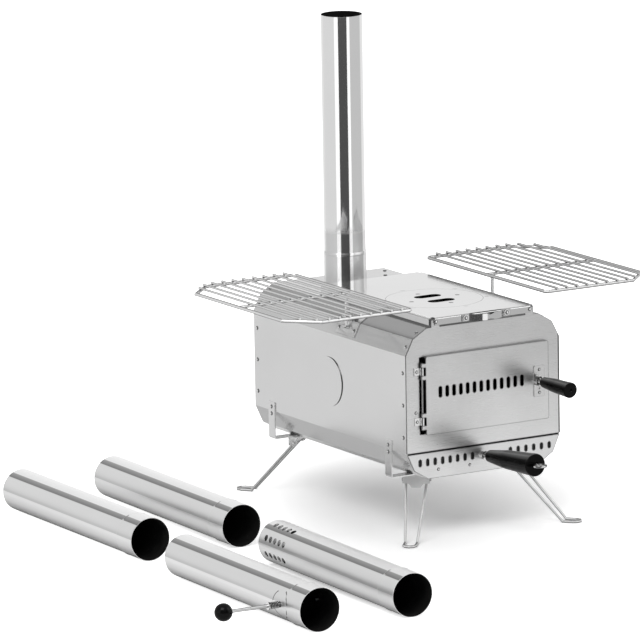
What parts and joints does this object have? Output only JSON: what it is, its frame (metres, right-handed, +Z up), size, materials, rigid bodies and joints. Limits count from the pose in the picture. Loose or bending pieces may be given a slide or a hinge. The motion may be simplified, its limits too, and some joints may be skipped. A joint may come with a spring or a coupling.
{
  "type": "tent wood stove",
  "caption": "Folding tent wood stove on wire legs, with side shelves, ash drawer, lift-off hot plate and a flue kit of push-fit pipes with damper and spark section.",
  "frame": {"origin": "on the ground, at the centre of the whole set seen from above", "axes": "+X to the right seen from the front, +Y from the front to the rear, +Z up"},
  "size_m": [0.9352, 0.891, 0.6922],
  "materials": {
    "shell_sheet": "satin",
    "front_sheet": "brushed",
    "top_sheet": "polished",
    "firebox_inner": "dark",
    "fasteners": "plain",
    "wire": "bright",
    "pipe": "mirror",
    "grip": "gloss"
  },
  "bodies": {
    "stove": {"firebox_shell": "shell_sheet", "front_plate": "front_sheet", "rear_plate": "shell_sheet", "fire_grate": "firebox_inner", "body_rivets": "fasteners", "side_disc": "top_sheet", "flue_collar": "shell_sheet", "cooking_top": "top_sheet", "plate_seat_ring": "firebox_inner", "top_rivets": "fasteners", "carry_strap": "top_sheet", "shelf_bracket_left": "shell_sheet", "shelf_bracket_right": "shell_sheet", "hinge_clips": "fasteners", "hinge_pin": "fasteners", "leg_bolts": "fasteners", "leg_strap_front_left": "shell_sheet", "leg_strap_front_right": "shell_sheet", "leg_strap_rear_left": "shell_sheet", "leg_strap_rear_right": "shell_sheet", "leg_clip_front_left": "shell_sheet", "leg_clip_front_right": "shell_sheet", "leg_clip_rear_left": "shell_sheet", "leg_clip_rear_right": "shell_sheet"},
    "door": {"door_panel": "front_sheet", "latch_plate": "fasteners"},
    "latch": {"latch_shaft": "fasteners", "latch_tongue": "firebox_inner", "door_grip": "grip"},
    "drawer": {"drawer_front": "front_sheet", "drawer_tray": "firebox_inner", "drawer_rod": "fasteners", "drawer_grip": "grip", "drawer_rivets": "fasteners"},
    "hot_plate": {"hot_plate": "top_sheet", "flame_shield": "firebox_inner", "shield_studs": "fasteners"},
    "left_shelf": {"shelf_left": "wire", "swivel_rod_left": "wire"},
    "right_shelf": {"shelf_right": "wire", "swivel_rod_right": "wire"},
    "leg_front_left": {"wire_leg_front_left": "wire"},
    "leg_front_right": {"wire_leg_front_right": "wire"},
    "leg_rear_left": {"wire_leg_rear_left": "wire"},
    "leg_rear_right": {"wire_leg_rear_right": "wire"},
    "standing_flue": {"flue_section_standing": "pipe"},
    "near_flue": {"flue_section_near": "pipe"},
    "far_flue": {"flue_section_far": "pipe"},
    "damper_flue": {"damper_section": "pipe"},
    "damper": {"damper_plate": "firebox_inner", "damper_rod": "fasteners", "damper_spring": "fasteners", "damper_pin": "fasteners", "damper_ball": "grip"},
    "spark_flue": {"spark_section": "pipe", "spark_cap": "fasteners"}
  },
  "joints": [
    {"name": "door_hinge", "type": "hinge", "parent": "stove", "child": "door", "pos_m": [0.06306, -0.0602, 0.2], "axis": [0, 0, -1], "range_deg": [0, 110]},
    {"name": "latch_turn", "type": "hinge", "parent": "door", "child": "latch", "pos_m": [0.25506, -0.0628, 0.208], "axis": [0, -1, 0], "range_deg": [0, 90]},
    {"name": "drawer_slide", "type": "slide", "parent": "stove", "child": "drawer", "axis": [0, -1, 0], "range_m": [0, 0.3]},
    {"name": "hot_plate_lift", "type": "slide", "parent": "stove", "child": "hot_plate", "axis": [0, 0, 1], "range_m": [0, 0.12]},
    {"name": "left_shelf_swivel", "type": "hinge", "parent": "stove", "child": "left_shelf", "pos_m": [0.04406, 0.1092, 0.32], "axis": [0, 0, 1], "range_deg": [-45, 45]},
    {"name": "right_shelf_swivel", "type": "hinge", "parent": "stove", "child": "right_shelf", "pos_m": [0.28806, 0.1092, 0.32], "axis": [0, 0, -1], "range_deg": [-45, 45]},
    {"name": "leg_front_left_fold", "type": "hinge", "parent": "stove", "child": "leg_front_left", "pos_m": [0.08206, -0.0108, 0.078], "axis": [0.7771, -0.6293, 0], "range_deg": [0, 120]},
    {"name": "leg_front_right_fold", "type": "hinge", "parent": "stove", "child": "leg_front_right", "pos_m": [0.25006, -0.0108, 0.078], "axis": [0.7771, 0.6293, 0], "range_deg": [0, 120]},
    {"name": "leg_rear_left_fold", "type": "hinge", "parent": "stove", "child": "leg_rear_left", "pos_m": [0.08206, 0.3122, 0.078], "axis": [-0.7771, -0.6293, 0], "range_deg": [0, 120]},
    {"name": "leg_rear_right_fold", "type": "hinge", "parent": "stove", "child": "leg_rear_right", "pos_m": [0.25006, 0.3122, 0.078], "axis": [-0.7771, 0.6293, 0], "range_deg": [0, 120]},
    {"name": "standing_flue_lift", "type": "slide", "parent": "stove", "child": "standing_flue", "axis": [0, 0, 1], "range_m": [0, 0.2]},
    {"name": "near_flue_lift", "type": "slide", "parent": "stove", "child": "near_flue", "axis": [0, 0, 1], "range_m": [0, 0.2]},
    {"name": "far_flue_lift", "type": "slide", "parent": "stove", "child": "far_flue", "axis": [0, 0, 1], "range_m": [0, 0.2]},
    {"name": "damper_flue_lift", "type": "slide", "parent": "stove", "child": "damper_flue", "axis": [0, 0, 1], "range_m": [0, 0.2]},
    {"name": "spark_flue_lift", "type": "slide", "parent": "stove", "child": "spark_flue", "axis": [0, 0, 1], "range_m": [0, 0.2]},
    {"name": "damper_turn", "type": "hinge", "parent": "damper_flue", "child": "damper", "pos_m": [-0.33915, -0.38735, 0.031], "axis": [-0.9992, 0.0401, 0], "range_deg": [0, 90]}
  ]
}
